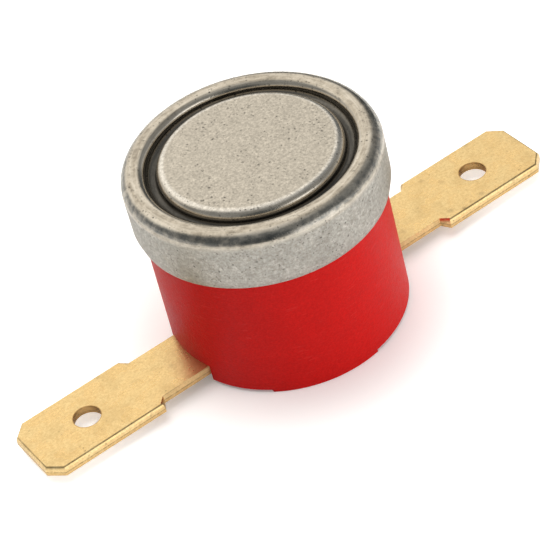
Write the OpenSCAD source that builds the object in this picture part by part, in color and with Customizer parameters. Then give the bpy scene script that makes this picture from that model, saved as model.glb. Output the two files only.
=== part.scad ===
// Snap-disc bimetal thermostat. A drawn cap is crimped over a moulded base. Under the cap a dished
// bimetal disc drives a pin, and the pin bends a leaf spring that opens the contact.
// The land under the base stands on z = 0, the cap's axis is Z and the terminals lie along X.

/* [Cap] */
// Outer diameter of the cap
cap_d = 18.9; // [17:0.1:22]
// Height of the cap, from its lower edge to its top
cap_h = 4.65; // [4.2:0.05:6]
// Sheet thickness of the cap
cap_wall = 0.35; // [0.25:0.05:0.35]
// Outer radius of the cap's top corner
cap_corner_r = 1; // [0.6:0.05:1.4]
// Width of the rim's flat, between its two curves
rim_flat_w = 0.25; // [0.05:0.05:0.6]
// Depth of the ring groove round the plateau
groove_depth = 1; // [1:0.05:1.2]
// Outer radius of the bend at the plateau's edge
plateau_bend_r = 0.65; // [0.4:0.05:0.65]
// Outer radius of the bend at the rim's inner edge
rim_bend_r = 0.6; // [0.4:0.05:0.65]
// Radius of the bends at the groove's floor
groove_bend_r = 0.25; // [0.15:0.05:0.3]
// Width of the groove's flat floor
groove_floor_w = 0.3; // [0.05:0.05:0.8]
// Height of the crimp that turns in under the base's flange
crimp_h = 0.8; // [0.5:0.05:1]
// How far that crimp turns in
crimp_in = 0.2; // [0.1:0.05:0.5]

/* [Base] */
// How much the base's radius grows from the cap to its foot
base_draft = 0.12; // [0:0.02:0.2]
// Height of the base that shows below the cap
base_shown_h = 10.5; // [9.4:0.1:13]
// Height of the base's flange above the crimp
flange_h = 0.5; // [0.3:0.05:0.7]
// Width of the land that the base stands on
land_w = 7.7; // [5:0.1:8]
// Distance of the land's middle from the axis, towards the left terminal
land_offset = 2.25; // [0:0.05:2.6]
// Height of the land below the rest of the underside
land_h = 0.25; // [0.1:0.01:0.35]
// Thickness of the wall round the switch chamber
base_wall = 1.15; // [0.8:0.05:1.4]
// Thickness of the floor between the terminals and the chamber
floor_t = 1.8; // [1:0.1:2.4]

/* [Terminals] */
// Width of a tab
tab_w = 6.3; // [5.4:0.1:7]
// Thickness of a tab
tab_t = 0.8; // [0.5:0.05:1]
// Length of a tab from its shoulders to its tip
tab_l = 9.6; // [8:0.1:12]
// Length of the neck between the base and a tab's shoulders
neck_l = 4.25; // [2:0.05:8]
// Width of that neck
neck_w = 4.7; // [3.6:0.1:5.2]
// Length over which a shoulder slopes out to the tab's width
shoulder_l = 0.4; // [0.2:0.05:1]
// Chamfer across each corner of a tab's tip
tip_chamfer = 1.05; // [0.6:0.05:1.8]
// Bevel along the edges of a terminal
edge_bevel = 0.15; // [0.05:0.01:0.22]
// Diameter of the hole in a tab
hole_d = 2.1; // [1.6:0.1:2.6]
// Distance of that hole from the tip
hole_from_tip = 4.9; // [3.5:0.1:6]
// Length of a terminal past its rivet's head, under the base
terminal_lap = 0.4; // [0.2:0.05:0.8]
// Height of a terminal's underside above the surface that the base stands on
terminal_z = 0.8; // [0.6:0.05:1.4]

/* [Disc and pin] */
// Thickness of the bimetal disc
disc_t = 0.25; // [0.15:0.05:0.3]
// Rise of the disc's centre above its edge at rest
disc_dish = 0.4; // [0.25:0.05:0.45]
// Play of the disc's edge under the cap's groove
disc_play = 0.25; // [0.2:0.05:0.35]
// Width of the ledge that the disc's edge lies on
ledge_w = 1.2; // [0.8:0.1:1.6]
// Room under the disc's centre when it has snapped down
snap_room = 0.4; // [0.3:0.05:0.5]
// Diameter of the push pin
pin_d = 1.8; // [1.4:0.1:2]
// Gap between the pin's top and the disc at rest
pin_gap = 0.1; // [0.05:0.01:0.15]
// Diameter of the guide round the pin
guide_d = 4.4; // [3.4:0.1:5]
// Length of that guide below the seat's underside
guide_l = 2.6; // [1.5:0.1:3]

/* [Contacts] */
// Gap between a rivet's head and the chamber's wall
rivet_gap = 0.6; // [0.3:0.05:0.9]
// Diameter of the rivets' shanks
rivet_d = 1.8; // [1.4:0.1:2]
// Diameter of the rivets' heads
rivet_head_d = 2.6; // [2.3:0.1:2.8]
// Height of the rivets' heads
rivet_head_h = 0.5; // [0.3:0.05:0.6]
// Thickness of the washer on the contact arm
washer_t = 0.4; // [0.2:0.05:0.6]
// Height of the contact arm above the chamber's floor
arm_rise = 2.2; // [1.8:0.1:2.6]
// Thickness of the contact arm
arm_t = 0.25; // [0.15:0.05:0.3]
// Width of the contact arm at its rivet
arm_root_w = 2.8; // [2.6:0.1:3]
// Width of the contact arm under the pin
arm_waist_w = 1.8; // [1.2:0.1:2.2]
// Width of the round end of the arm and of the fixed strip
contact_pad_w = 2.2; // [2:0.1:2.6]
// Thickness of the fixed strip
strip_t = 0.4; // [0.3:0.05:0.6]
// Gap between the push pin and those round ends
pad_gap = 0.3; // [0.2:0.05:0.8]
// Diameter of the contacts
contact_d = 1.9; // [1.6:0.1:2]
// Height of each contact's face above its carrier
contact_h = 0.5; // [0.35:0.05:0.6]
// Diameter of the contacts' shanks
contact_shank_d = 1.1; // [0.9:0.1:1.3]
// Diameter of the closed tail of a contact
contact_tail_d = 1.6; // [1.5:0.1:1.8]
// Height of that tail
contact_tail_h = 0.25; // [0.15:0.05:0.35]

/* [Fits] */
// Radial clearance of the base and the disc seat in the cap
cap_clearance = 0.05; // [0.03:0.01:0.1]
// Radial clearance round shanks, pins and terminals
hole_clearance = 0.05; // [0.02:0.01:0.08]
// Radial clearance round the disc
disc_clearance = 0.2; // [0.1:0.05:0.3]
// Gap between the pin's round end and the contact arm
pin_rest_gap = 0.02; // [0.01:0.01:0.05]

/* [Hidden] */

round_fn = 96;
arc_steps = 8;
// Length by which cutters pass a face, and joined shapes reach into each other
cut = 1;
overlap = 0.4;

// Cap
cap_r = cap_d / 2;
cap_inner_r = cap_r - cap_wall;
rim_r = cap_r - cap_corner_r - rim_flat_w;
skirt_z = base_shown_h;
top_z = skirt_z + cap_h;
groove_out_r = rim_r - rim_bend_r - groove_bend_r;
groove_in_r = groove_out_r - groove_floor_w;
plateau_r = groove_in_r - groove_bend_r - plateau_bend_r;
// Height of the centres of the bends at the groove's floor
floor_bend_z = top_z - groove_depth + groove_bend_r;
corner_centre = [cap_r - cap_corner_r, top_z - cap_corner_r];
groove_under_z = top_z - groove_depth - cap_wall;

// Base
flange_z = skirt_z + crimp_h;
flange_r = cap_inner_r - cap_clearance;
base_r = flange_r - crimp_in;
foot_r = base_r + base_draft;
base_top_z = flange_z + flange_h;
chamber_r = base_r - base_wall;
terminal_top_z = terminal_z + tab_t;
floor_z = terminal_top_z + floor_t;

// Disc seat, disc and pin
seat_r = cap_inner_r - cap_clearance;
seat_inner_r = rim_r;
ledge_z = groove_under_z - disc_play - disc_t;
ledge_inner_r = seat_inner_r - ledge_w;
seat_floor_z = ledge_z - disc_dish - snap_room;
guide_z = base_top_z - guide_l;
disc_r = seat_inner_r - disc_clearance;
disc_curve_r = (disc_r * disc_r + disc_dish * disc_dish) / (2 * disc_dish);
disc_centre_z = ledge_z + disc_dish - disc_curve_r;
disc_half_angle = asin(disc_r / disc_curve_r);
pin_r = pin_d / 2;
pin_bore_r = pin_r + hole_clearance;
pin_top_z = ledge_z + disc_dish - pin_gap;

// Contacts
rivet_r = rivet_d / 2;
rivet_hole_r = rivet_r + hole_clearance;
rivet_head_r = rivet_head_d / 2;
rivet_x = chamber_r - rivet_gap - rivet_head_r;
boss_lip = rivet_head_r + hole_clearance;
boss_edge_x = rivet_x - boss_lip;
root_end_x = rivet_x + rivet_head_r;
arm_z = floor_z + arm_rise;
arm_top_z = arm_z + arm_t;
pin_bottom_z = arm_top_z + pin_rest_gap;
contact_z = arm_top_z + contact_h;
strip_z = contact_z + contact_h;
pad_r = contact_pad_w / 2;
contact_x = pin_r + pad_gap + pad_r;
contact_hole_r = contact_shank_d / 2 + hole_clearance;

// Terminals
shoulder_x = base_r + neck_l;
tip_x = shoulder_x + tab_l;
terminal_end_x = rivet_x - rivet_head_r - terminal_lap;
hole_x = tip_x - hole_from_tip;
channel_w = neck_w + 2 * hole_clearance;
channel_end_x = terminal_end_x - hole_clearance;

function reversed(points) = [for (i = [len(points) - 1:-1:0]) points[i]];

// Points along an arc
function arc(centre, r, from, to) = [
    for (i = [0:arc_steps])
    let (angle = from + (to - from) * i / arc_steps)
    centre + r * [cos(angle), sin(angle)]
];

// One face of the cap's sheet, from the axis outwards and down to the crimped edge
function cap_face(inset) = concat(
    [[0, top_z - inset]],
    arc([plateau_r, top_z - plateau_bend_r], plateau_bend_r - inset, 90, 0),
    arc([groove_in_r, floor_bend_z], groove_bend_r + inset, 180, 270),
    arc([groove_out_r, floor_bend_z], groove_bend_r + inset, 270, 360),
    arc([rim_r, top_z - rim_bend_r], rim_bend_r - inset, 180, 90),
    arc(corner_centre, cap_corner_r - inset, 90, 0),
    [[cap_r - inset, flange_z], [cap_r - crimp_in - inset, skirt_z]]
);

module sensing_cap() {
    color("silver")
    rotate_extrude($fn = round_fn)
    polygon(concat(cap_face(0), reversed(cap_face(cap_wall))));
}

// One face of the disc, from the axis to the edge
function disc_face(rise) = [
    for (i = [0:arc_steps])
    let (angle = disc_half_angle * i / arc_steps)
    [disc_curve_r * sin(angle), disc_centre_z + disc_curve_r * cos(angle) + rise]
];

module bimetal_disc() {
    color("lightslategray")
    rotate_extrude($fn = round_fn)
    polygon(concat(disc_face(0), reversed(disc_face(disc_t))));
}

module disc_seat() {
    color("saddlebrown")
    rotate_extrude($fn = round_fn)
    polygon(concat(
        [
            [pin_bore_r, guide_z],
            [guide_d / 2, guide_z],
            [guide_d / 2, base_top_z],
            [seat_r, base_top_z]
        ],
        arc(corner_centre, cap_corner_r - cap_wall - cap_clearance, 0, 90),
        [
            [seat_inner_r, top_z - cap_wall - cap_clearance],
            [seat_inner_r, ledge_z],
            [ledge_inner_r, ledge_z],
            [ledge_inner_r, seat_floor_z],
            [pin_bore_r, seat_floor_z]
        ]
    ));
}

module push_pin() {
    color("ivory") {
        translate([0, 0, pin_bottom_z + pin_r])
        cylinder(r = pin_r, h = pin_top_z - pin_bottom_z - pin_r, $fn = round_fn);
        translate([0, 0, pin_bottom_z + pin_r])
        sphere(r = pin_r, $fn = round_fn);
    }
}

// The turned outside of the base with its chamber, above the land
module base_cup() {
    rotate_extrude($fn = round_fn)
    polygon([
        [0, land_h],
        [foot_r, land_h],
        [base_r, skirt_z],
        [flange_r, flange_z],
        [flange_r, base_top_z],
        [chamber_r, base_top_z],
        [chamber_r, floor_z],
        [0, floor_z]
    ]);
}

// The strip across the underside that the part stands on
module base_land() {
    intersection() {
        cylinder(r = foot_r, h = land_h + overlap, $fn = round_fn);
        translate([-land_offset - land_w / 2, -cap_r, 0])
        cube([land_w, cap_d, land_h + overlap]);
    }
}

// A step in the chamber that carries a contact piece at height top, on the side where x is positive
module chamber_boss(top) {
    intersection() {
        translate([0, 0, floor_z - overlap])
        cylinder(r = chamber_r + overlap, h = top - floor_z + overlap, $fn = round_fn);
        translate([boss_edge_x, -cap_r, floor_z - overlap])
        cube([cap_r, cap_d, top - floor_z + overlap]);
    }
}

// The open channel under the base that a terminal lies in, on the side where x is positive
module terminal_channel() {
    translate([channel_end_x, -channel_w / 2, -cut])
    cube([cap_r, channel_w, terminal_top_z + cut]);
    translate([rivet_x, 0, 0])
    cylinder(r = rivet_hole_r, h = base_top_z, $fn = round_fn);
}

module base() {
    color("firebrick")
    difference() {
        union() {
            base_cup();
            base_land();
            chamber_boss(strip_z);
            mirror([1, 0, 0]) chamber_boss(arm_z);
        }
        terminal_channel();
        mirror([1, 0, 0]) terminal_channel();
    }
}

// Section across a terminal with bevelled edges, in the Y-Z plane
module terminal_section(width) {
    polygon([
        [-width / 2 + edge_bevel, 0],
        [width / 2 - edge_bevel, 0],
        [width / 2, edge_bevel],
        [width / 2, tab_t - edge_bevel],
        [width / 2 - edge_bevel, tab_t],
        [-width / 2 + edge_bevel, tab_t],
        [-width / 2, tab_t - edge_bevel],
        [-width / 2, edge_bevel]
    ]);
}

// A bar of that section along X
module terminal_bar(width, from_x, to_x) {
    translate([from_x, 0, 0])
    rotate([90, 0, 90])
    linear_extrude(height = to_x - from_x)
    terminal_section(width);
}

// Outline of a tab from its shoulders to its chamfered tip
module tab_outline() {
    polygon([
        [shoulder_x - shoulder_l, -neck_w / 2 + edge_bevel],
        [shoulder_x, -tab_w / 2],
        [tip_x - tip_chamfer, -tab_w / 2],
        [tip_x, -tab_w / 2 + tip_chamfer],
        [tip_x, tab_w / 2 - tip_chamfer],
        [tip_x - tip_chamfer, tab_w / 2],
        [shoulder_x, tab_w / 2],
        [shoulder_x - shoulder_l, neck_w / 2 - edge_bevel]
    ]);
}

// Side view of a tab, bevelled at its tip, in the X-Z plane
module tab_side() {
    polygon([
        [shoulder_x - shoulder_l, 0],
        [tip_x - edge_bevel, 0],
        [tip_x, edge_bevel],
        [tip_x, tab_t - edge_bevel],
        [tip_x - edge_bevel, tab_t],
        [shoulder_x - shoulder_l, tab_t]
    ]);
}

// A terminal on the side where x is positive
module terminal() {
    translate([0, 0, terminal_z])
    difference() {
        union() {
            terminal_bar(neck_w, terminal_end_x, shoulder_x);
            intersection() {
                linear_extrude(height = tab_t) tab_outline();
                terminal_bar(tab_w, shoulder_x - shoulder_l, tip_x);
                translate([0, tab_w, 0])
                rotate([90, 0, 0])
                linear_extrude(height = 2 * tab_w) tab_side();
            }
        }
        translate([hole_x, 0, -cut]) cylinder(d = hole_d, h = tab_t + 2 * cut, $fn = round_fn);
        translate([rivet_x, 0, -cut]) cylinder(r = rivet_hole_r, h = tab_t + 2 * cut, $fn = round_fn);
    }
}

module left_terminal() {
    color("goldenrod") mirror([1, 0, 0]) terminal();
}

module right_terminal() {
    color("goldenrod") terminal();
}

// Outline of a domed rivet head, from its rim to the axis, rising from height z by h
function head_dome(z, h) = [
    for (i = [0:arc_steps])
    let (angle = 90 * i / arc_steps)
    [rivet_head_r * cos(angle), z + h * sin(angle)]
];

// A rivet from the terminal's underside up to the piece that it clamps
module rivet(top) {
    translate([rivet_x, 0, 0])
    rotate_extrude($fn = round_fn)
    polygon(concat(
        reversed(head_dome(terminal_z, -rivet_head_h)),
        [[rivet_r, terminal_z], [rivet_r, top]],
        head_dome(top, rivet_head_h)
    ));
}

module left_rivet() {
    color("darkgoldenrod") mirror([1, 0, 0]) rivet(arm_top_z + washer_t);
}

module right_rivet() {
    color("darkgoldenrod") rivet(strip_z + strip_t);
}

module contact_arm() {
    color("peru")
    translate([0, 0, arm_z])
    linear_extrude(height = arm_t)
    difference() {
        union() {
            polygon([
                [-root_end_x, -arm_root_w / 2],
                [-boss_edge_x, -arm_root_w / 2],
                [0, -arm_waist_w / 2],
                [contact_x, -arm_waist_w / 2],
                [contact_x, arm_waist_w / 2],
                [0, arm_waist_w / 2],
                [-boss_edge_x, arm_root_w / 2],
                [-root_end_x, arm_root_w / 2]
            ]);
            translate([contact_x, 0]) circle(r = pad_r, $fn = round_fn);
        }
        translate([-rivet_x, 0]) circle(r = rivet_hole_r, $fn = round_fn);
        translate([contact_x, 0]) circle(r = contact_hole_r, $fn = round_fn);
    }
}

module arm_washer() {
    color("gainsboro")
    translate([-rivet_x, 0, arm_top_z])
    difference() {
        cylinder(r = rivet_head_r, h = washer_t, $fn = round_fn);
        translate([0, 0, -cut]) cylinder(r = rivet_hole_r, h = washer_t + 2 * cut, $fn = round_fn);
    }
}

// A contact with its face up, seated on a carrier whose top is at z = 0
module contact_rivet(carrier_t) {
    cylinder(d = contact_d, h = contact_h, $fn = round_fn);
    translate([0, 0, -carrier_t]) cylinder(d = contact_shank_d, h = carrier_t + overlap, $fn = round_fn);
    translate([0, 0, -carrier_t - contact_tail_h])
    cylinder(d = contact_tail_d, h = contact_tail_h, $fn = round_fn);
}

module moving_contact() {
    color("whitesmoke") translate([contact_x, 0, arm_top_z]) contact_rivet(arm_t);
}

module fixed_strip() {
    color("goldenrod")
    translate([0, 0, strip_z])
    linear_extrude(height = strip_t)
    difference() {
        union() {
            translate([contact_x, -pad_r]) square([root_end_x - contact_x, contact_pad_w]);
            translate([contact_x, 0]) circle(r = pad_r, $fn = round_fn);
        }
        translate([rivet_x, 0]) circle(r = rivet_hole_r, $fn = round_fn);
        translate([contact_x, 0]) circle(r = contact_hole_r, $fn = round_fn);
    }
}

module fixed_contact() {
    color("whitesmoke") translate([contact_x, 0, strip_z]) rotate([180, 0, 0]) contact_rivet(strip_t);
}

sensing_cap();
bimetal_disc();
disc_seat();
push_pin();
base();
left_terminal();
right_terminal();
left_rivet();
right_rivet();
contact_arm();
arm_washer();
moving_contact();
fixed_strip();
fixed_contact();
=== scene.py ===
"""Snap-disc bimetal thermostat: the finished pieces, their materials, the light and the camera.

Everything is in metres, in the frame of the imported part: the land stands on z = 0, the cap's
axis is Z and the terminals lie along X.
"""

import math

import bmesh
import bpy
from mathutils import Matrix, Vector


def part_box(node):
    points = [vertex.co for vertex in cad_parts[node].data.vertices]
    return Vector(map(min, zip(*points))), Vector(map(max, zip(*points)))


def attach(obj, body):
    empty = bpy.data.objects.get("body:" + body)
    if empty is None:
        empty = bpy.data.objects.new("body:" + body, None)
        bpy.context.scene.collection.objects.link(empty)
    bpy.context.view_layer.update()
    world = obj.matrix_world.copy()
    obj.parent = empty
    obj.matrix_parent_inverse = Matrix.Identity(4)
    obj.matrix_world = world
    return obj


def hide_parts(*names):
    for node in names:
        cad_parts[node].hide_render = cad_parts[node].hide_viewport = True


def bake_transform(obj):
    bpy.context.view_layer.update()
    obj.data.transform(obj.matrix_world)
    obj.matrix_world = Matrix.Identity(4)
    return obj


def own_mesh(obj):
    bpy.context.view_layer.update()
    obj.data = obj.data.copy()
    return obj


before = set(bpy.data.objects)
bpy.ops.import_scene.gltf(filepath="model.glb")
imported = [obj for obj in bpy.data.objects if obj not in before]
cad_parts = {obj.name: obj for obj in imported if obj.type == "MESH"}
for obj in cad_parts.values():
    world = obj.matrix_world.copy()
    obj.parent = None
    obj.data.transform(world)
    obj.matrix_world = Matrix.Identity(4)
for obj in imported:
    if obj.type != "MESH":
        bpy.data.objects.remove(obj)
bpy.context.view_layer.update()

MM = 0.001

# Corners of the boxes that the solids fill
cap_low, cap_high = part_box("sensing_cap")
base_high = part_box("base")[1]
seat_low, seat_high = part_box("disc_seat")
disc_low, disc_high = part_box("bimetal_disc")
pin_low, pin_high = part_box("push_pin")
tab_low, tab_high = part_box("right_terminal")
arm_low, arm_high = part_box("contact_arm")
strip_low, strip_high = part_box("fixed_strip")
washer_low, washer_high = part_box("arm_washer")
moving_low, moving_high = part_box("moving_contact")
fixed_low, fixed_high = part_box("fixed_contact")
left_rivet_low, left_rivet_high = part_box("left_rivet")
right_rivet_low, right_rivet_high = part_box("right_rivet")

# Cap
cap_r = cap_high.x
top_z = cap_high.z
skirt_z = cap_low.z
cap_wall = 0.35 * MM
cap_corner_r = 1.0 * MM
rim_flat_w = 0.25 * MM
groove_depth = 1.0 * MM
plateau_bend_r = 0.65 * MM
rim_bend_r = 0.6 * MM
groove_bend_r = 0.25 * MM
groove_rise_r = 0.5 * MM
groove_in_r = 7.05 * MM
crimp_h = 0.8 * MM
crimp_in = 0.2 * MM
cut_edge_r = 0.06 * MM
rim_r = cap_r - cap_corner_r - rim_flat_w
rise_angle = math.acos(1 - groove_depth / (rim_bend_r + groove_rise_r))
rise_turn = math.degrees(rise_angle)
groove_out_r = rim_r - (rim_bend_r + groove_rise_r) * math.sin(rise_angle)
plateau_r = groove_in_r - groove_bend_r - plateau_bend_r
plateau_wall_r = plateau_r + plateau_bend_r
rim_wall_r = rim_r - rim_bend_r
groove_z = top_z - groove_depth
plateau_bend_z = top_z - plateau_bend_r
rim_bend_z = top_z - rim_bend_r
floor_bend_z = groove_z + groove_bend_r
rise_bend_z = groove_z + groove_rise_r
corner_x = cap_r - cap_corner_r
corner_z = top_z - cap_corner_r
flange_z = skirt_z + crimp_h

# Base
flange_r = base_high.x
base_top_z = base_high.z
base_r = flange_r - crimp_in
foot_r = base_r + 0.12 * MM
foot_round = 0.08 * MM
chamber_r = base_r - 1.15 * MM
floor_z = tab_high.z + 1.8 * MM
land_w = 7.7 * MM
land_offset = 2.25 * MM
land_h = 0.25 * MM
boss_lap = 0.3 * MM
cut_past = 1.0 * MM

# Terminals
tab_t = tab_high.z - tab_low.z
tip_x = tab_high.x
tab_half_w = tab_high.y
neck_half_w = 2.35 * MM
shoulder_x = tip_x - 9.6 * MM
shoulder_l = 0.4 * MM
tip_chamfer = 1.05 * MM
hole_x = tip_x - 4.9 * MM
hole_r = 1.05 * MM
rolled_edge = 0.24 * MM
rolled_stretch = 2.0
cut_edge = 0.03 * MM
hole_flare = 0.15 * MM
fit_gap = 0.05 * MM

# Rivets, arm, strip and contacts
rivet_x = (right_rivet_low.x + right_rivet_high.x) / 2
rivet_head_r = right_rivet_high.x - rivet_x
rivet_head_h = 0.5 * MM
rivet_r = 0.9 * MM
rivet_hole_r = rivet_r + fit_gap
boss_edge_x = rivet_x - rivet_head_r - fit_gap
arm_root_half_w = arm_high.y
arm_waist_half_w = 0.9 * MM
pad_r = strip_high.y
bend_end_x = -1.4 * MM
bend_cuts = 14
contact_x = (fixed_low.x + fixed_high.x) / 2
contact_r = fixed_high.x - contact_x
contact_edge = 0.1 * MM
contact_shank_r = 0.55 * MM
contact_hole_r = contact_shank_r + fit_gap
contact_tail_r = 0.8 * MM

# Disc, its seat and the pin
disc_t = 0.25 * MM
disc_dish = disc_high.z - disc_low.z - disc_t
disc_r = disc_high.x
disc_curve_r = (disc_r**2 + disc_dish**2) / (2 * disc_dish)
disc_half_angle = math.degrees(math.asin(disc_r / disc_curve_r))
ledge_z = disc_low.z
seat_inner_r = disc_r + 0.2 * MM
ledge_inner_r = seat_inner_r - 1.2 * MM
seat_floor_z = ledge_z - 0.8 * MM
guide_r = 2.2 * MM
pin_r = pin_high.x
pin_bore_r = pin_r + fit_gap
pin_edge = 0.12 * MM
moulded_edge = 0.06 * MM
strip_edge = 0.05 * MM

# Fineness of curves and of edges
TURN_STEPS = 192
SMALL_TURN_STEPS = 72
ARC_STEPS = 12
CORNER_STEPS = 24
EDGE_STEPS = 4
HOLE_STEPS = 32
SMALL_HOLE_STEPS = 24
PAD_STEPS = 20
STRIP_END_STEPS = 16
ROLLED_SEGMENTS = 8
EDGE_SEGMENTS = 2
SHARP_ANGLE = math.radians(32)
MERGE = 1e-7


def only(kind, geom):
    return [g for g in geom if isinstance(g, kind)]


def everything(bm):
    return bm.verts[:] + bm.edges[:] + bm.faces[:]


class Outline:
    """Chains of edges in the X-Z plane, drawn from point to point with lines and arcs."""

    def __init__(self, x, z):
        self.bm = bmesh.new()
        self.start(x, z)

    def start(self, x, z):
        self.tip = self.bm.verts.new((x, 0, z))
        return self

    def line(self, x, z):
        made = bmesh.ops.extrude_vert_indiv(self.bm, verts=[self.tip])
        self.tip = made["verts"][0]
        self.tip.co = (x, 0, z)
        return self

    def arc(self, x, z, turn, steps=ARC_STEPS, squeeze=1.0):
        """Goes round the centre (x, z); a positive turn, in degrees, is clockwise.

        Squeeze makes it part of an ellipse.
        """
        before = set(self.bm.verts)
        made = bmesh.ops.spin(
            self.bm,
            geom=[self.tip],
            cent=(x, 0, z),
            axis=(0, 1, 0),
            angle=math.radians(turn),
            steps=steps,
        )
        self.tip = only(bmesh.types.BMVert, made["geom_last"])[0]
        drawn = [v for v in self.bm.verts if v not in before]
        centre = Matrix.Translation((-x, 0, -z))
        bmesh.ops.scale(self.bm, verts=drawn, vec=(1, 1, squeeze), space=centre)
        return self

    def turned(self, steps=TURN_STEPS, x=0.0):
        """The closed solid that the outline sweeps round Z, moved along X."""
        bm = self.bm
        bmesh.ops.spin(
            bm,
            geom=bm.verts[:] + bm.edges[:],
            cent=(0, 0, 0),
            axis=(0, 0, 1),
            angle=math.tau,
            steps=steps,
            use_merge=True,
        )
        bmesh.ops.translate(bm, verts=bm.verts, vec=(x, 0, 0))
        return tidied(bm)

    def plate(self, low_z, high_z):
        """A flat plate. The outline is its half from y = 0 outwards, with z for y."""
        bm = self.bm
        flat = Matrix.Rotation(-math.pi / 2, 3, "X")
        bmesh.ops.rotate(bm, verts=bm.verts, cent=(0, 0, 0), matrix=flat)
        bmesh.ops.remove_doubles(bm, verts=bm.verts, dist=MERGE)
        bmesh.ops.contextual_create(bm, geom=bm.edges[:])
        bmesh.ops.mirror(bm, geom=everything(bm), merge_dist=MERGE, axis="Y")
        bmesh.ops.translate(bm, verts=bm.verts, vec=(0, 0, low_z))
        made = bmesh.ops.extrude_face_region(bm, geom=bm.faces[:])
        raised = only(bmesh.types.BMVert, made["geom"])
        bmesh.ops.translate(bm, verts=raised, vec=(0, 0, high_z - low_z))
        return tidied(bm)


def tidied(bm):
    bmesh.ops.remove_doubles(bm, verts=bm.verts, dist=MERGE)
    bmesh.ops.recalc_face_normals(bm, faces=bm.faces)
    return bm


def is_sharp(edge):
    return len(edge.link_faces) == 2 and edge.calc_face_angle() > SHARP_ANGLE


def rim_edges(bm, z):
    """The sharp edges that lie flat at height z."""
    return [e for e in bm.edges if is_sharp(e) and all(abs(v.co.z - z) < MERGE for v in e.verts)]


def soften(bm, edges, width, segments=EDGE_SEGMENTS):
    bmesh.ops.bevel(
        bm,
        geom=edges,
        offset=width,
        offset_type="OFFSET",
        segments=segments,
        profile=0.5,
        affect="EDGES",
        clamp_overlap=True,
        material=-1,
    )
    return tidied(bm)


def soften_all(bm, width):
    return soften(bm, [e for e in bm.edges if is_sharp(e)], width)


def make_object(bm, name):
    for face in bm.faces:
        face.smooth = True
    for edge in bm.edges:
        edge.smooth = not is_sharp(edge)
    mesh = bpy.data.meshes.new(name)
    bm.to_mesh(mesh)
    bm.free()
    piece = bpy.data.objects.new(name, mesh)
    bpy.context.scene.collection.objects.link(piece)
    return piece


def finished(bm, name, node, material):
    """A piece with its material, in the place of its solid."""
    piece = make_object(bm, name)
    piece.data.materials.append(material)
    even = piece.modifiers.new("even shading", "WEIGHTED_NORMAL")
    even.keep_sharp = True
    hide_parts(node)
    return piece


def block(low, high):
    low, high = Vector(low), Vector(high)
    bm = bmesh.new()
    bmesh.ops.create_cube(bm, size=1)
    bmesh.ops.scale(bm, verts=bm.verts, vec=high - low)
    bmesh.ops.translate(bm, verts=bm.verts, vec=(low + high) / 2)
    return bm


def rod(x, radius, low_z, high_z, segments=SMALL_TURN_STEPS):
    bm = bmesh.new()
    bmesh.ops.create_cone(
        bm, cap_ends=True, segments=segments, radius1=radius, radius2=radius, depth=high_z - low_z
    )
    bmesh.ops.translate(bm, verts=bm.verts, vec=(x, 0, (low_z + high_z) / 2))
    return bm


def boolean(piece, operation, tools):
    """Joins tool meshes to a piece or cuts them out of it, one after the other."""
    for bm in tools:
        tool = make_object(bm, "tool")
        step = piece.modifiers.new(operation, "BOOLEAN")
        step.operation = operation
        step.solver = "EXACT"
        step.object = tool
        shaped = piece.evaluated_get(bpy.context.evaluated_depsgraph_get())
        mesh = bpy.data.meshes.new_from_object(shaped)
        piece.modifiers.clear()
        piece.data = mesh
        bpy.data.objects.remove(tool)


# Shader helpers


class Nodes:
    """Short calls that add nodes to one tree and give back their output sockets."""

    def __init__(self, tree):
        self.tree = tree

    def feed(self, socket, value):
        if isinstance(value, bpy.types.NodeSocket):
            self.tree.links.new(value, socket)
        else:
            socket.default_value = value

    def add(self, kind, inputs=None, output=0, **settings):
        made = self.tree.nodes.new(kind)
        for name, value in settings.items():
            setattr(made, name, value)
        for name, value in (inputs or {}).items():
            self.feed(made.inputs[name], value)
        return made.outputs[output]

    def math(self, operation, a, b=0.0):
        return self.add("ShaderNodeMath", {0: a, 1: b}, operation=operation)

    def both(self, a, b):
        return self.math("MULTIPLY", a, b)

    def sum(self, a, b):
        return self.math("ADD", a, b)

    def minus(self, a, b):
        return self.math("SUBTRACT", a, b)

    def most(self, a, b):
        return self.math("MAXIMUM", a, b)

    def vector(self, operation, a, b=(0.0, 0.0, 0.0), output="Vector"):
        return self.add("ShaderNodeVectorMath", {0: a, 1: b}, output, operation=operation)

    def measure(self, operation, a, b=(0.0, 0.0, 0.0)):
        """A step with vectors that gives one number."""
        return self.vector(operation, a, b, "Value")

    def scaled(self, a, share):
        return self.add("ShaderNodeVectorMath", {0: a, "Scale": share}, operation="SCALE")

    def level(self, point):
        """The point without its height."""
        return self.vector("MULTIPLY", point, (1, 1, 0))

    def part(self, point, axis):
        return self.add("ShaderNodeSeparateXYZ", {0: point}, axis)

    def rise(self, value, low, high):
        """0 at low, 1 at high and a smooth slope between; low may be the larger one."""
        inputs = {"Value": value, "From Min": low, "From Max": high}
        return self.add("ShaderNodeMapRange", inputs, interpolation_type="SMOOTHSTEP")

    def span(self, value, low, high):
        """Maps 0 to 1 onto low to high."""
        return self.add("ShaderNodeMapRange", {"Value": value, "To Min": low, "To Max": high})

    def mix(self, share, a, b):
        inputs = {"Factor": share, 6: a, 7: b}
        return self.add("ShaderNodeMix", inputs, 2, data_type="RGBA")

    def layered(self, colour, layers):
        """Lays tones over a colour in turn: a mask, the share it counts for, and the tone."""
        for mask, share, tone in layers:
            colour = self.mix(self.both(mask, share), colour, tone)
        return colour

    def noise(self, point, scale, detail=3.0, roughness=0.55, output=0):
        inputs = {"Vector": point, "Scale": scale, "Detail": detail, "Roughness": roughness}
        return self.add("ShaderNodeTexNoise", inputs, output)

    def group(self, tree, output, **inputs):
        named = {name.replace("_", " "): value for name, value in inputs.items()}
        return self.add("ShaderNodeGroup", named, output, node_tree=tree)


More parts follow.
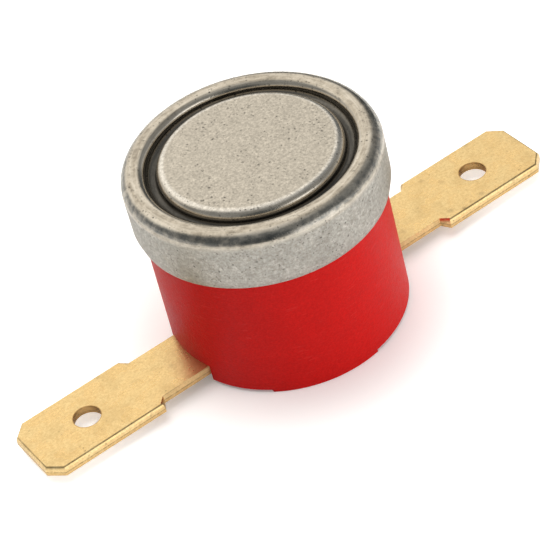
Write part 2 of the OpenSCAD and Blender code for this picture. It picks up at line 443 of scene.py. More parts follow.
FLOAT, VECTOR = "NodeSocketFloat", "NodeSocketVector"
NOISE_SPREAD = (0.3, 0.7)


def new_group(name, inputs, outputs):
    """An empty shader group: its tree, its helper, and the sockets that come in and go out."""
    tree = bpy.data.node_groups.new(name, "ShaderNodeTree")
    for socket, kind in inputs:
        tree.interface.new_socket(name=socket, in_out="INPUT", socket_type=kind)
    for socket, kind in outputs:
        tree.interface.new_socket(name=socket, in_out="OUTPUT", socket_type=kind)
    given = tree.nodes.new("NodeGroupInput").outputs
    wanted = tree.nodes.new("NodeGroupOutput").inputs
    return tree, Nodes(tree), given, wanted


def place_group():
    """Where the surface lies, in millimetres: its point, the distance from the axis, the height."""
    outputs = [("Point", VECTOR), ("Radius", FLOAT), ("Height", FLOAT)]
    tree, n, _, wanted = new_group("place", [], outputs)
    point = n.scaled(n.add("ShaderNodeTexCoord", output="Object"), 1 / MM)
    n.feed(wanted["Point"], point)
    n.feed(wanted["Radius"], n.measure("LENGTH", n.level(point)))
    n.feed(wanted["Height"], n.part(point, "Z"))
    return tree


def pits_group():
    """Pits of uneven shape and depth that gather in places: a mask that is 1 in a deep pit."""
    inputs = [("Point", VECTOR), ("Per mm", FLOAT), ("Share", FLOAT), ("Size", FLOAT)]
    tree, n, given, wanted = new_group("pits", inputs, [("Mask", FLOAT)])
    shift = n.scaled(n.noise(given["Point"], 9.0, output=1), 0.2)
    cells = {"Vector": n.vector("ADD", given["Point"], shift), "Scale": given["Per mm"]}
    distance = n.add("ShaderNodeTexVoronoi", cells, "Distance")
    lots = distance.node.outputs["Color"]
    lot, depth, width = (
        n.add("ShaderNodeSeparateColor", {0: lots}, part) for part in ("Red", "Green", "Blue")
    )
    gathered = n.span(n.rise(n.noise(given["Point"], 0.7), 0.38, 0.62), 0.35, 1.65)
    chosen = n.math("LESS_THAN", lot, n.both(given["Share"], gathered))
    size = n.both(given["Size"], n.span(width, 0.5, 1.1))
    inside = n.rise(distance, size, n.both(size, 0.15))
    n.feed(wanted["Mask"], n.both(n.both(chosen, inside), n.span(depth, 0.35, 1.0)))
    return tree


def mottle_group():
    """Cloudy patches from 0 to 1, with the contrast spread out."""
    inputs = [("Point", VECTOR), ("Per mm", FLOAT)]
    tree, n, given, wanted = new_group("mottle", inputs, [("Value", FLOAT)])
    patches = n.noise(given["Point"], given["Per mm"], detail=4.0, roughness=0.6)
    n.feed(wanted["Value"], n.rise(patches, *NOISE_SPREAD))
    return tree


def scratches_group():
    """Fine lines along one direction: Stretch is small along the lines and large across them."""
    inputs = [("Point", VECTOR), ("Stretch", VECTOR), ("Share", FLOAT)]
    tree, n, given, wanted = new_group("scratches", inputs, [("Mask", FLOAT)])
    stretched = n.vector("MULTIPLY", given["Point"], given["Stretch"])
    lines = n.noise(stretched, 1.0, detail=2.0, roughness=0.5)
    edge = n.minus(0.74, n.both(given["Share"], 0.2))
    patch = n.rise(n.noise(given["Point"], 0.6, detail=2.0), 0.4, 0.6)
    n.feed(wanted["Mask"], n.both(n.rise(lines, edge, n.sum(edge, 0.07)), patch))
    return tree


def ring_marks_group():
    """Drawing marks that run round the axis, from 0 to 1."""
    inputs = [("Point", VECTOR), ("Radius", FLOAT), ("Height", FLOAT), ("Per mm", FLOAT)]
    tree, n, given, wanted = new_group("ring marks", inputs, [("Value", FLOAT)])
    along = n.scaled(n.vector("NORMALIZE", n.level(given["Point"])), 2.2)
    across = n.both(n.sum(given["Radius"], n.both(given["Height"], 1.3)), given["Per mm"])
    drawn = n.vector("ADD", along, n.add("ShaderNodeCombineXYZ", {"Z": across}))
    marks = n.noise(drawn, 1.0, detail=3.0, roughness=0.6)
    n.feed(wanted["Value"], n.rise(marks, *NOISE_SPREAD))
    return tree


PLACE = place_group()
PITS = pits_group()
MOTTLE = mottle_group()
SCRATCHES = scratches_group()
RING_MARKS = ring_marks_group()


def placed(n):
    """The surface point in millimetres, its distance from the axis and its height."""
    point = n.group(PLACE, "Point")
    return point, point.node.outputs["Radius"], point.node.outputs["Height"]


def mottle(n, point, per_mm):
    return n.group(MOTTLE, "Value", Point=point, Per_mm=per_mm)


def pits(n, point, per_mm, share, size):
    return n.group(PITS, "Mask", Point=point, Per_mm=per_mm, Share=share, Size=size)


def scratches(n, point, stretch, share):
    return n.group(SCRATCHES, "Mask", Point=point, Stretch=stretch, Share=share)


def ring_marks(n, point, radius, height, per_mm):
    return n.group(
        RING_MARKS, "Value", Point=point, Radius=radius, Height=height, Per_mm=per_mm
    )


def bump(n, height, strength, distance):
    inputs = {"Height": height, "Strength": strength, "Distance": distance}
    return n.add("ShaderNodeBump", inputs)


def new_material(name):
    """A material with its helper and the inputs of its Principled shader."""
    material = bpy.data.materials.new(name)
    material.use_nodes = True
    return material, Nodes(material.node_tree), material.node_tree.nodes["Principled BSDF"].inputs


# Tones of the cap's sheet; where there are two, the darker one is first
SHEET = (0.66, 0.61, 0.535, 1), (0.80, 0.74, 0.65, 1)
SHEET_SKIRT = (0.40, 0.40, 0.375, 1), (0.72, 0.71, 0.665, 1)
# Dark tones of the groove: dirt and painted shade
SHEET_DIRT_AND_SHADE = (0.025, 0.025, 0.025, 1), (0.10, 0.095, 0.088, 1)
SHEET_DRAWN = (0.50, 0.43, 0.34, 1)
SHEET_STAINED = (0.30, 0.265, 0.215, 1)
# Rubbed sheet, lightened as a painted highlight
SHEET_RUBBED_HIGHLIGHT = (0.98, 0.94, 0.88, 1)
# Dark blotches that also paint a dark reflection band on the corner
SHEET_BLOTCH_AND_DARK_REFLECTION = (0.15, 0.165, 0.17, 1)
SHEET_GRAIN = (0.30, 0.28, 0.245, 1)
SHEET_SCRATCH = (0.42, 0.385, 0.33, 1)
SHEET_PIT = (0.10, 0.094, 0.085, 1)


def cap_aluminium():
    """Drawn sheet, satin and pitted all over, with faint scratches on its flat parts.

    It is rubbed bright on the plateau's edge, lightened further there as a painted highlight, and
    stained on the rim. The corner has dark blotches that also paint a dark reflection band, and the
    groove is darkened by dirt and painted shade.
    """
    material, n, shader = new_material("cap_aluminium")
    point, radius, height = placed(n)
    cloud, blotch, grain, fine = (mottle(n, point, per_mm) for per_mm in (0.8, 2.0, 4.5, 7.5))
    marks = ring_marks(n, point, radius, height, per_mm=3.5)
    fine_pits = pits(n, point, per_mm=4.2, share=0.5, size=0.45)
    big_pits = pits(n, point, per_mm=1.9, share=0.22, size=0.28)
    pitted = n.most(fine_pits, big_pits)
    lines = scratches(n, point, stretch=(5.5, 0.8, 2.0), share=0.7)

    def at_radius(low, high):
        return n.rise(radius, low / MM, high / MM)

    def at_height(low, high):
        return n.rise(height, low / MM, high / MM)

    in_groove = n.both(
        at_radius(plateau_r + 0.3 * MM, plateau_wall_r),
        at_radius(rim_r, groove_out_r),
    )
    # The groove's floor and lower walls: real dirt, darkened further as painted shade
    groove_dirt_and_shade = n.both(in_groove, at_height(groove_z + 0.75 * MM, groove_z + 0.25 * MM))
    # The plateau's edge: rubbed bright, and lightened further as a painted highlight
    rubbed_and_highlit = n.both(
        at_radius(plateau_r - 0.1 * MM, plateau_r + 0.1 * MM),
        at_radius(plateau_wall_r - 0.2 * MM, plateau_r + 0.2 * MM),
    )
    # The corner's dark band: partly real blotches, partly a painted dark reflection
    corner_dark_band = n.both(
        at_radius(corner_x + 0.42 * MM, corner_x + 0.65 * MM),
        at_height(corner_z + 0.25 * MM, corner_z + 0.5 * MM),
    )
    on_skirt = at_height(corner_z + 0.3 * MM, corner_z - 0.2 * MM)
    off_skirt = n.minus(1.0, on_skirt)
    on_rim = n.both(at_radius(rim_wall_r, rim_r), off_skirt)
    formed = n.both(at_radius(plateau_r, plateau_wall_r), off_skirt)
    flat = n.sum(n.span(formed, 1.0, 0.3), n.both(on_skirt, 0.4))
    skirt = n.mix(n.both(n.sum(cloud, blotch), 0.5), *SHEET_SKIRT)
    dirt_and_shade = n.mix(marks, *SHEET_DIRT_AND_SHADE)
    layers = [
        (on_skirt, 0.9, skirt),
        (n.both(formed, marks), 0.55, SHEET_DRAWN),
        (n.both(on_rim, blotch), marks, SHEET_STAINED),
        (rubbed_and_highlit, 0.95, SHEET_RUBBED_HIGHLIGHT),
        (corner_dark_band, n.span(blotch, 0.25, 0.85), SHEET_BLOTCH_AND_DARK_REFLECTION),
        (n.both(grain, flat), 0.4, SHEET_GRAIN),
        (n.both(fine, flat), 0.4, SHEET_GRAIN),
        (n.both(lines, flat), 0.35, SHEET_SCRATCH),
        (groove_dirt_and_shade, 0.9, dirt_and_shade),
        (pitted, 0.9, SHEET_PIT),
    ]
    n.feed(shader["Base Color"], n.layered(n.mix(cloud, *SHEET), layers))
    rough = n.sum(n.span(cloud, 0.27, 0.35), n.both(n.both(grain, flat), 0.1))
    rough = n.sum(rough, n.sum(n.both(pitted, 0.15), n.both(on_skirt, 0.1)))
    rough = n.minus(rough, n.both(n.most(rubbed_and_highlit, formed), 0.12))
    n.feed(shader["Roughness"], rough)
    shader["Metallic"].default_value = 1.0
    relief = n.both(n.sum(n.both(grain, 0.4), n.both(fine, 0.25)), flat)
    relief = n.minus(relief, n.both(pitted, 0.6))
    n.feed(shader["Normal"], bump(n, relief, strength=0.45, distance=0.02 * MM))
    return material


# Tones of the red moulding
RED = (0.555, 0.0058, 0.005, 1), (0.625, 0.0072, 0.006, 1)
RED_GRAIN = (0.70, 0.013, 0.010, 1)
RED_FINE = (0.42, 0.0035, 0.003, 1)
RED_MARK = (0.50, 0.005, 0.0045, 1)
RED_STREAK = (0.72, 0.05, 0.042, 1)
RED_SPECK = (0.28, 0.008, 0.008, 1)


def red_phenolic():
    """Moulded phenolic, satin red, with faint streaks round it and a fine grain."""
    material, n, shader = new_material("red_phenolic")
    point, radius, height = placed(n)
    cloud, grain, fine = (mottle(n, point, per_mm) for per_mm in (0.35, 3.6, 7.0))
    marks = ring_marks(n, point, radius, height, per_mm=2.6)
    streaks = scratches(n, point, stretch=(0.8, 0.8, 7.0), share=0.6)
    specks = pits(n, point, per_mm=1.3, share=0.10, size=0.14)
    layers = [
        (grain, 0.5, RED_GRAIN),
        (fine, 0.5, RED_FINE),
        (marks, 0.2, RED_MARK),
        (streaks, 0.22, RED_STREAK),
        (specks, 0.5, RED_SPECK),
    ]
    n.feed(shader["Base Color"], n.layered(n.mix(cloud, *RED), layers))
    n.feed(shader["Roughness"], n.sum(n.span(cloud, 0.38, 0.45), n.both(grain, 0.1)))
    shader["Specular IOR Level"].default_value = 0.09
    shader["Sheen Weight"].default_value = 0.06
    shader["Sheen Roughness"].default_value = 0.35
    relief = n.sum(n.both(n.sum(grain, fine), 0.7), n.both(streaks, 0.6))
    n.feed(shader["Normal"], bump(n, relief, strength=0.5, distance=0.02 * MM))
    return material


# Tones of the tabs
TAB = (0.97, 0.70, 0.335, 1), (1.0, 0.78, 0.405, 1)
TAB_GRAIN = (0.60, 0.40, 0.17, 1)
TAB_PATCH = (0.62, 0.43, 0.19, 1)
TAB_TORN = (0.66, 0.42, 0.16, 1)
# Painted dark reflection along the rolled edge
TAB_EDGE_DARK_REFLECTION = (0.24, 0.165, 0.08, 1)
TAB_SHEAR_LINE = (0.30, 0.19, 0.08, 1)
# Painted shade and painted reflection of the red body, next to the base
TAB_BASE_SHADE_AND_REFLECTION = (0.50, 0.32, 0.15, 1)
TAB_IN_HOLE = (0.42, 0.24, 0.09, 1)
TAB_MARRED = (0.27, 0.19, 0.10, 1)
TAB_SCRATCH = (0.52, 0.34, 0.15, 1)
PATCH_SHIFT = (40.0, 7.0, 3.0)


def tab_brass():
    """Stamped brass sheet with light scratches, tarnished near its edges.

    The stamped edges are rolled above and torn below. A painted dark reflection runs along the top
    of the rolled edge, and painted shade with a painted reflection of the red body darkens the tabs
    next to the base.
    """
    material, n, shader = new_material("tab_brass")
    point, radius, height = placed(n)
    cloud, grain, fine = (mottle(n, point, per_mm) for per_mm in (0.7, 4.5, 7.5))
    patches = mottle(n, n.vector("ADD", point, PATCH_SHIFT), 0.45)
    dots = pits(n, point, per_mm=2.6, share=0.26, size=0.36)
    stains = pits(n, point, per_mm=1.1, share=0.3, size=0.42)
    lines = scratches(n, point, stretch=(0.7, 6.0, 6.0), share=0.45)

    def at_share(start, end):
        """A mask that rises between two shares of the sheet's thickness, from below."""
        return n.rise(height, (tab_low.z + start * tab_t) / MM, (tab_low.z + end * tab_t) / MM)

    low = at_share(0.40, 0.32)
    torn = n.both(low, n.span(grain, 0.5, 1.0))
    # A painted dark reflection line along the top of the rolled edge
    edge_dark_reflection = n.both(at_share(0.995, 0.97), at_share(0.84, 0.93))
    shear_line = n.both(at_share(0.48, 0.43), at_share(0.34, 0.39))
    # Painted shade and a painted reflection of the red body, darkening the tab next to the base
    base_shade_and_reflection = n.rise(radius, (base_r + 2.6 * MM) / MM, base_r / MM)
    one_side = n.vector("ABSOLUTE", n.level(point))
    to_hole = n.measure("DISTANCE", one_side, (hole_x / MM, 0, 0))
    hole_wall = n.rise(to_hole, (hole_r + 0.09 * MM) / MM, (hole_r + 0.02 * MM) / MM)
    across = n.math("ABSOLUTE", n.part(point, "Y"))
    near_edge = n.rise(across, (neck_half_w - 1.2 * MM) / MM, tab_half_w / MM)
    marred = n.both(n.most(dots, n.both(stains, 0.6)), n.span(near_edge, 0.35, 1.0))
    layers = [
        (grain, 0.4, TAB_GRAIN),
        (fine, 0.4, TAB_GRAIN),
        (n.rise(patches, 0.5, 0.95), 0.3, TAB_PATCH),
        (torn, 0.55, TAB_TORN),
        (edge_dark_reflection, n.span(patches, 0.0, 0.5), TAB_EDGE_DARK_REFLECTION),
        (shear_line, n.span(grain, 0.4, 0.9), TAB_SHEAR_LINE),
        (base_shade_and_reflection, n.span(cloud, 0.25, 0.5), TAB_BASE_SHADE_AND_REFLECTION),
        (hole_wall, 0.7, TAB_IN_HOLE),
        (marred, 1.0, TAB_MARRED),
        (lines, 0.3, TAB_SCRATCH),
    ]
    n.feed(shader["Base Color"], n.layered(n.mix(cloud, *TAB), layers))
    rough = n.sum(n.span(cloud, 0.25, 0.33), n.both(low, 0.12))
    n.feed(shader["Roughness"], n.sum(rough, n.both(marred, 0.15)))
    shader["Metallic"].default_value = 1.0
    relief = n.minus(n.minus(n.both(grain, 0.4), n.both(lines, 0.5)), torn)
    n.feed(shader["Normal"], bump(n, relief, strength=0.3, distance=0.015 * MM))
    return material


METAL_PIT = (0.12, 0.10, 0.08, 1)
ROLLED, TURNED = (0.6, 7.0, 7.0), (5.0, 5.0, 0.6)


def worked_metal(name, dark, light, rough, stretch):
    """A metal of two close tones, with marks along the way it was rolled or turned."""
    material, n, shader = new_material(name)
    point = placed(n)[0]
    cloud = mottle(n, point, 0.9)
    lines = scratches(n, point, stretch, share=0.7)
    dots = pits(n, point, per_mm=2.5, share=0.12, size=0.25)
    n.feed(shader["Base Color"], n.layered(n.mix(cloud, dark, light), [(dots, 0.5, METAL_PIT)]))
    n.feed(shader["Roughness"], n.sum(n.span(cloud, *rough), n.both(lines, 0.15)))
    shader["Metallic"].default_value = 1.0
    n.feed(shader["Normal"], bump(n, n.sum(lines, dots), strength=0.25, distance=0.015 * MM))
    return material


def fired_body(name, dark, light, rough):
    """A fired or moulded body of two close tones with a fine grain and a few specks."""
    material, n, shader = new_material(name)
    point = placed(n)[0]
    cloud, grain = mottle(n, point, 0.7), mottle(n, point, 7.0)
    specks = pits(n, point, per_mm=2.0, share=0.1, size=0.2)
    layers = [(grain, 0.35, light), (specks, 0.4, dark)]
    n.feed(shader["Base Color"], n.layered(n.mix(cloud, dark, light), layers))
    n.feed(shader["Roughness"], n.span(cloud, *rough))
    relief = n.minus(grain, specks)
    n.feed(shader["Normal"], bump(n, relief, strength=0.25, distance=0.015 * MM))
    return material


ALUMINIUM = cap_aluminium()
PHENOLIC = red_phenolic()
BRASS = tab_brass()
BIMETAL = worked_metal(
    "bimetal",
    dark=(0.50, 0.49, 0.46, 1),
    light=(0.62, 0.61, 0.58, 1),
    rough=(0.28, 0.40),
    stretch=ROLLED,
)
RIVET = worked_metal(
    "rivet_brass",
    dark=(0.66, 0.45, 0.19, 1),
    light=(0.78, 0.56, 0.27, 1),
    rough=(0.30, 0.42),
    stretch=TURNED,
)
BRONZE = worked_metal(
    "spring_bronze",
    dark=(0.58, 0.33, 0.18, 1),
    light=(0.70, 0.43, 0.26, 1),
    rough=(0.26, 0.38),
    stretch=ROLLED,
)
STEEL = worked_metal(
    "plated_steel",
    dark=(0.58, 0.57, 0.54, 1),
    light=(0.70, 0.69, 0.66, 1),
    rough=(0.22, 0.34),
    stretch=TURNED,
)
SILVER = worked_metal(
    "contact_silver",
    dark=(0.74, 0.73, 0.69, 1),
    light=(0.84, 0.83, 0.80, 1),
    rough=(0.28, 0.40),
    stretch=TURNED,
)
SEAT = fired_body(
    "seat_phenolic",
    dark=(0.10, 0.05, 0.03, 1),
    light=(0.17, 0.09, 0.055, 1),
    rough=(0.50, 0.62),
)
CERAMIC = fired_body(
    "pin_ceramic",
    dark=(0.70, 0.66, 0.58, 1),
    light=(0.84, 0.81, 0.74, 1),
    rough=(0.45, 0.58),
)


# Pieces


def drawn_cap():
    """One sheet all over: the outer face from the middle to the cut edge, then the inner one."""
    outline = Outline(0, top_z).line(plateau_r, top_z).arc(plateau_r, plateau_bend_z, 90)
    outline.line(plateau_wall_r, floor_bend_z)
    outline.arc(groove_in_r, floor_bend_z, -90).line(groove_out_r, groove_z)
    outline.arc(groove_out_r, rise_bend_z, -rise_turn).arc(rim_r, rim_bend_z, rise_turn)
    outline.line(corner_x, top_z).arc(corner_x, corner_z, 90, CORNER_STEPS)
    outline.line(cap_r, flange_z).line(cap_r - crimp_in, skirt_z + cut_edge_r)
    outline.arc(cap_r - crimp_in - cut_edge_r, skirt_z + cut_edge_r, 90, EDGE_STEPS)
    outline.line(cap_r - crimp_in - cap_wall, skirt_z)
    outline.line(cap_r - cap_wall, flange_z).line(cap_r - cap_wall, corner_z)
    outline.arc(corner_x, corner_z, -90).line(rim_r, top_z - cap_wall)
    outline.arc(rim_r, rim_bend_z, -rise_turn).arc(groove_out_r, rise_bend_z, rise_turn)
    outline.line(groove_in_r, groove_z - cap_wall)
    outline.arc(groove_in_r, floor_bend_z, 90).line(plateau_wall_r - cap_wall, plateau_bend_z)
    outline.arc(plateau_r, plateau_bend_z, -90).line(0, top_z - cap_wall)
    return finished(outline.turned(), "drawn_cap", "sensing_cap", ALUMINIUM)


def chamber_boss(side, top):
    """A step in the chamber: a slice of a disc that reaches into the wall and the floor."""
    bm = rod(0, chamber_r + boss_lap, floor_z - boss_lap, top, TURN_STEPS)
    cut = bmesh.ops.bisect_plane(
        bm,
        geom=everything(bm),
        plane_co=(side * boss_edge_x, 0, 0),
        plane_no=(-side, 0, 0),
        clear_outer=True,
    )
    bmesh.ops.holes_fill(bm, edges=only(bmesh.types.BMEdge, cut["geom_cut"]))
    return tidied(bm)


def base_moulding():
    outline = Outline(0, 0)
    outline.line(foot_r - foot_round, 0).arc(foot_r - foot_round, foot_round, -90, EDGE_STEPS)
    outline.line(base_r, skirt_z).line(flange_r, flange_z).line(flange_r, base_top_z)
    outline.line(chamber_r, base_top_z).line(chamber_r, floor_z).line(0, floor_z)
    piece = make_object(outline.turned(), "base_blank")
    boolean(piece, "UNION", [chamber_boss(1, strip_low.z), chamber_boss(-1, arm_low.z)])
    far = cap_r + cut_past
    land_low_x, land_high_x = -land_offset - land_w / 2, -land_offset + land_w / 2
    channel_half_w = neck_half_w + fit_gap
    channel_end = tab_low.x - fit_gap
    cuts = [
        block((-far, -cap_r, -cut_past), (land_low_x, cap_r, land_h)),
        block((land_high_x, -cap_r, -cut_past), (far, cap_r, land_h)),
    ]
    for side in (1, -1):
        low_x, high_x = sorted((side * channel_end, side * far))
        low = (low_x, -channel_half_w, -cut_past)
        cuts.append(block(low, (high_x, channel_half_w, tab_high.z)))
        cuts.append(rod(side * rivet_x, rivet_hole_r, 0, base_top_z))
    boolean(piece, "DIFFERENCE", cuts)
    bm = bmesh.new()
    bm.from_mesh(piece.data)
    bpy.data.objects.remove(piece)
    return finished(tidied(bm), "base_moulding", "base", PHENOLIC)


def terminal(side, name, node):
    """A tab. Its edges are rounded on a flatter sheet, and stretched with it to full thickness."""
    outline = Outline(tab_low.x, 0)
    outline.line(tab_low.x, neck_half_w).line(shoulder_x - shoulder_l, neck_half_w)
    outline.line(shoulder_x, tab_half_w).line(tip_x - tip_chamfer, tab_half_w)
    outline.line(tip_x, tab_half_w - tip_chamfer).line(tip_x, 0)
    outline.line(hole_x + hole_r, 0).arc(hole_x, 0, -180, HOLE_STEPS)
    outline.line(rivet_x + rivet_hole_r, 0).arc(rivet_x, 0, -180, HOLE_STEPS)
    outline.line(tab_low.x, 0)
    flat_z = tab_low.z + tab_t / rolled_stretch
    bm = outline.plate(tab_low.z, flat_z)
    middle = Vector((hole_x, 0))

    def round_hole(edge):
        return (edge.verts[0].co.xy - middle).length < hole_r + MERGE

    def stamped(edge):
        return not round_hole(edge) and edge.verts[0].co.x > rivet_x + rivet_head_r

    soften(bm, [e for e in rim_edges(bm, flat_z) if stamped(e)], rolled_edge, ROLLED_SEGMENTS)
    soften(bm, [e for e in rim_edges(bm, tab_low.z) if round_hole(e)], hole_flare)
    soften(bm, [e for e in rim_edges(bm, tab_low.z) if not round_hole(e)], cut_edge)
    foot = Matrix.Translation((0, 0, -tab_low.z))
    bmesh.ops.scale(bm, verts=bm.verts, vec=(side, 1, rolled_stretch), space=foot)
    return finished(tidied(bm), name, node, BRASS)


def rivet(side, name, node, low_z, high_z):
    foot, head = low_z + rivet_head_h, high_z - rivet_head_h
    domed = rivet_head_h / rivet_head_r
    outline = Outline(rivet_head_r, foot).arc(0, foot, 90, squeeze=domed)
    outline.start(rivet_head_r, foot).line(rivet_r, foot).line(rivet_r, head)
    outline.line(rivet_head_r, head).arc(0, head, -90, squeeze=domed)
    bm = outline.turned(SMALL_TURN_STEPS, side * rivet_x)
    return finished(bm, name, node, RIVET)


def snap_disc():
    centre_z = ledge_z + disc_dish - disc_curve_r
    outline = Outline(0, ledge_z + disc_dish).arc(0, centre_z, disc_half_angle)
    outline.line(disc_r, ledge_z + disc_t).arc(0, centre_z + disc_t, -disc_half_angle)
    return finished(outline.turned(), "snap_disc", "bimetal_disc", BIMETAL)


def disc_seat():
    outline = Outline(pin_bore_r, seat_low.z).line(guide_r, seat_low.z).line(guide_r, base_top_z)
    outline.line(seat_high.x, base_top_z).line(seat_high.x, corner_z).arc(corner_x, corner_z, -90)
    outline.line(seat_inner_r, seat_high.z).line(seat_inner_r, ledge_z)
    outline.line(ledge_inner_r, ledge_z).line(ledge_inner_r, seat_floor_z)
    outline.line(pin_bore_r, seat_floor_z).line(pin_bore_r, seat_low.z)
    bm = soften_all(outline.turned(), moulded_edge)
    return finished(bm, "seat_moulding", "disc_seat", SEAT)


def transfer_pin():
    edge_z = pin_high.z - pin_edge
    outline = Outline(0, pin_low.z).arc(0, pin_low.z + pin_r, -90)
    outline.line(pin_r, edge_z).arc(pin_r - pin_edge, edge_z, -90, EDGE_STEPS)
    bm = outline.line(0, pin_high.z).turned(SMALL_TURN_STEPS)
    return finished(bm, "transfer_pin", "push_pin", CERAMIC)


def leaf_arm():
    """The arm, cut across at even steps from the boss's edge to bend_end_x."""
    pad_start = math.sqrt(pad_r**2 - arm_waist_half_w**2)
    pad_turn = 180 - math.degrees(math.asin(arm_waist_half_w / pad_r))
    outline = Outline(arm_low.x, 0).line(arm_low.x, arm_root_half_w)
    outline.line(-boss_edge_x, arm_root_half_w).line(0, arm_waist_half_w)
    outline.line(contact_x - pad_start, arm_waist_half_w).arc(contact_x, 0, pad_turn, PAD_STEPS)
    outline.line(contact_x + contact_hole_r, 0).arc(contact_x, 0, -180, SMALL_HOLE_STEPS)
    outline.line(-rivet_x + rivet_hole_r, 0).arc(-rivet_x, 0, -180, SMALL_HOLE_STEPS)
    bm = outline.line(arm_low.x, 0).plate(arm_low.z, arm_high.z)
    step = (bend_end_x + boss_edge_x) / bend_cuts
    for i in range(bend_cuts + 1):
        bmesh.ops.bisect_plane(
            bm,
            geom=everything(bm),
            plane_co=(-boss_edge_x + i * step, 0, 0),
            plane_no=(1, 0, 0),
        )
    return finished(tidied(bm), "leaf_arm", "contact_arm", BRONZE)


def backing_washer():
    outline = Outline(rivet_hole_r, washer_low.z).line(rivet_head_r, washer_low.z)
    outline.line(rivet_head_r, washer_high.z).line(rivet_hole_r, washer_high.z)
    outline.line(rivet_hole_r, washer_low.z)
    bm = soften_all(outline.turned(SMALL_TURN_STEPS, -rivet_x), strip_edge)
    return finished(bm, "backing_washer", "arm_washer", STEEL)


def contact_strip():
    outline = Outline(strip_low.x, 0).arc(contact_x, 0, 90, STRIP_END_STEPS)
    outline.line(strip_high.x, pad_r).line(strip_high.x, 0)
    outline.line(rivet_x + rivet_hole_r, 0).arc(rivet_x, 0, -180, SMALL_HOLE_STEPS)
    outline.line(contact_x + contact_hole_r, 0).arc(contact_x, 0, -180, SMALL_HOLE_STEPS)
    bm = outline.line(strip_low.x, 0).plate(strip_low.z, strip_high.z)
    return finished(bm, "contact_strip", "fixed_strip", BRASS)


def riveted_contact(name, node, face_z, seat_z, far_z, tail_z):
    """A contact from its face to its tail's end, through a carrier between seat_z and far_z."""
    inward = math.copysign(contact_edge, seat_z - face_z)
    outline = Outline(0, face_z).line(contact_r - contact_edge, face_z)
    outline.line(contact_r, face_z + inward).line(contact_r, seat_z)
    outline.line(contact_shank_r, seat_z).line(contact_shank_r, far_z)
    outline.line(contact_tail_r, far_z).line(contact_tail_r, tail_z - inward / 2)
    outline.line(contact_tail_r - contact_edge / 2, tail_z).line(0, tail_z)
    bm = outline.turned(SMALL_TURN_STEPS, contact_x)
    return finished(bm, name, node, SILVER)


def assemble():
    """Builds the pieces and hangs each one, apart from the leaf arm, under the body it moves with.
    """
    fixed_pieces = [
        drawn_cap(),
        base_moulding(),
        terminal(-1, "tab_left", "left_terminal"),
        terminal(1, "tab_right", "right_terminal"),
        rivet(-1, "rivet_left", "left_rivet", left_rivet_low.z, left_rivet_high.z),
        rivet(1, "rivet_right", "right_rivet", right_rivet_low.z, right_rivet_high.z),
        disc_seat(),
        backing_washer(),
        contact_strip(),
        riveted_contact(
            "contact_fixed", "fixed_contact", fixed_low.z, strip_low.z, strip_high.z, fixed_high.z
        ),
    ]
    for piece in fixed_pieces:
        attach(piece, "housing")
    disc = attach(snap_disc(), "housing")
    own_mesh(disc)
    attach(transfer_pin(), "pin")
    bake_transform(leaf_arm())
    moving = riveted_contact(
        "contact_moving", "moving_contact", moving_high.z, arm_high.z, arm_low.z, moving_low.z
    )
    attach(moving, "arm")


# Floor, light and camera

# The floor lies a hair under the land, so that the two faces don't share a plane
FLOOR_R = 1.5
FLOOR_Z = -0.02 * MM
FLOOR_SIDES = 64
FLOOR_COLOUR = (0.925, 0.925, 0.92, 1)
WHITE = (1, 1, 1, 1)
# The white lift seen by the camera: small near the object, where it paints the floor darker round
# it as painted shade, and full from FLOOR_OPEN_R out; glossy rays get a small one of their own
FLOOR_LIFT_NEAR, FLOOR_LIFT_OPEN, FLOOR_LIFT_MIRRORED = 0.17, 0.6, 0.06
FLOOR_OPEN_R = cap_r + 11 * MM


def direction(azimuth, elevation):
    """The way from the object to a place in the room, by degrees from +X towards +Y and up."""
    a, e = math.radians(azimuth), math.radians(elevation)
    return Vector((math.cos(a) * math.cos(e), math.sin(a) * math.cos(e), math.sin(e)))


def pale_floor():
    """A pale floor that keeps the shadow and is seen as white away from the object; near it a
    smaller white lift leaves painted shade round the object.
    """
    bm = bmesh.new()
    bmesh.ops.create_circle(bm, cap_ends=True, segments=FLOOR_SIDES, radius=FLOOR_R)
    bmesh.ops.translate(bm, verts=bm.verts, vec=(0, 0, FLOOR_Z))
    floor = make_object(tidied(bm), "floor")
    material, n, _ = new_material("pale_floor")
    n.tree.nodes.remove(n.tree.nodes["Principled BSDF"])
    rays = n.tree.nodes.new("ShaderNodeLightPath").outputs
    seen = n.most(rays["Is Camera Ray"], rays["Is Transmission Ray"])
    mirrored = n.both(rays["Is Glossy Ray"], FLOOR_LIFT_MIRRORED)
    from_axis = n.measure("LENGTH", n.add("ShaderNodeTexCoord", output="Object"))
    lift = n.span(n.rise(from_axis, cap_r, FLOOR_OPEN_R), FLOOR_LIFT_NEAR, FLOOR_LIFT_OPEN)
    strength = n.sum(n.both(seen, lift), mirrored)
    matt = n.add("ShaderNodeBsdfDiffuse", {"Color": FLOOR_COLOUR})
    white = n.add("ShaderNodeEmission", {"Color": WHITE, "Strength": strength})
    surface = n.add("ShaderNodeAddShader", {0: matt, 1: white})
    n.feed(n.tree.nodes["Material Output"].inputs["Surface"], surface)
    floor.data.materials.append(material)


ROOM_SHADE = (0.29, 0.295, 0.29, 1)
ROOM_LOW = (0.72, 0.71, 0.69, 1)
ROOM_LOW_FADE = (0.40, 0.10)
DARK_GAP = (0.10, 0.11, 0.115, 1)
FAR_PANEL = (1.14, 1.09, 0.99, 1)
TOP_PANEL = (0.60, 0.59, 0.56, 1)
NEAR_PANEL = (1.75, 1.74, 1.70, 1)

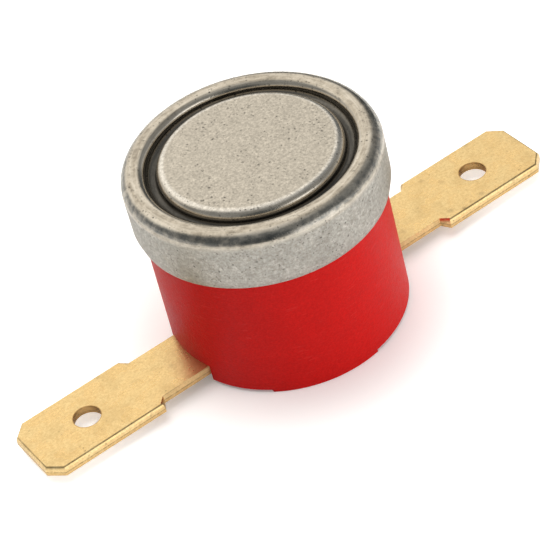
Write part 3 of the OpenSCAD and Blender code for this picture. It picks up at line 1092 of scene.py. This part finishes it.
# Azimuth and elevation of the middle, the angle out to which it is full, the angle where it ends
# (all in degrees) and the tone; a later one lies over an earlier one
PANELS = [
    (42, 6, 14, 30, DARK_GAP),
    (242, 22, 14, 32, DARK_GAP),
    (244, 89, 6, 26, TOP_PANEL),
    (88, 45, 20, 48, FAR_PANEL),
    (287, 4, 14, 34, NEAR_PANEL),
]


def studio():
    """A dim room with a pale lower wall and soft panels that the metal mirrors.

    A large panel stands behind the object, a low one at its near right, and a small dim one hangs
    over it. Dark gaps at the far right and the near left mark the bends of the cap.
    """
    world = bpy.data.worlds.new("studio")
    bpy.context.scene.world = world
    world.use_nodes = True
    n = Nodes(world.node_tree)
    way = n.add("ShaderNodeTexCoord", output="Generated")
    colour = n.mix(n.rise(n.part(way, "Z"), *ROOM_LOW_FADE), ROOM_SHADE, ROOM_LOW)
    for azimuth, elevation, full, end, tone in PANELS:
        near = n.measure("DOT_PRODUCT", way, direction(azimuth, elevation))
        share = n.rise(near, math.cos(math.radians(end)), math.cos(math.radians(full)))
        colour = n.mix(share, colour, tone)
    background = n.tree.nodes["Background"].inputs
    n.feed(background["Color"], colour)
    background["Strength"].default_value = 1.0


def soft_lamp(name, azimuth, elevation, distance, size, power, colour):
    """A round soft lamp that points at the object; the panels of the room make the reflections."""
    lamp = bpy.data.lights.new(name, "AREA")
    lamp.shape = "DISK"
    lamp.size = size
    lamp.energy = power
    lamp.color = colour
    holder = bpy.data.objects.new(name, lamp)
    bpy.context.scene.collection.objects.link(holder)
    way = direction(azimuth, elevation)
    turn = way.to_track_quat("Z", "Y").to_matrix().to_4x4()
    holder.matrix_world = Matrix.Translation(way * distance) @ turn
    holder.visible_glossy = False


# The camera stands at the near left and looks down; it also leans a little to one side. The
# angles are in degrees, and the azimuth is that of the picture's right-hand way.
VIEW_AZIMUTH = -25.283
VIEW_ELEVATION = 41.055
VIEW_ROLL = -15.063
VIEW_DISTANCE = 169.18 * MM
VIEW_TARGET = Vector((0.227, 1.690, 1.865)) * MM
SENSOR_W = 36.0
LENS = 148.97
CLIP_NEAR, CLIP_FAR = 0.01, 10.0


def camera():
    data = bpy.data.cameras.new("camera")
    data.sensor_width = SENSOR_W
    data.lens = LENS
    data.clip_start = CLIP_NEAR
    data.clip_end = CLIP_FAR
    holder = bpy.data.objects.new("camera", data)
    bpy.context.scene.collection.objects.link(holder)
    back = direction(VIEW_AZIMUTH - 90, VIEW_ELEVATION)
    right = direction(VIEW_AZIMUTH, 0)
    roll = Matrix.Rotation(math.radians(VIEW_ROLL), 3, "Z")
    turn = Matrix((right, back.cross(right), back)).transposed() @ roll
    holder.matrix_world = Matrix.Translation(VIEW_TARGET + back * VIEW_DISTANCE) @ turn.to_4x4()
    bpy.context.scene.camera = holder


assemble()
pale_floor()
studio()
soft_lamp(
    "top_lamp",
    azimuth=75,
    elevation=80,
    distance=0.40,
    size=0.40,
    power=1.05,
    colour=(1.0, 0.99, 0.97),
)
soft_lamp(
    "front_lamp",
    azimuth=312,
    elevation=20,
    distance=0.40,
    size=0.22,
    power=0.55,
    colour=(1.0, 0.99, 0.98),
)
camera()
bpy.context.scene.view_settings.view_transform = "Standard"
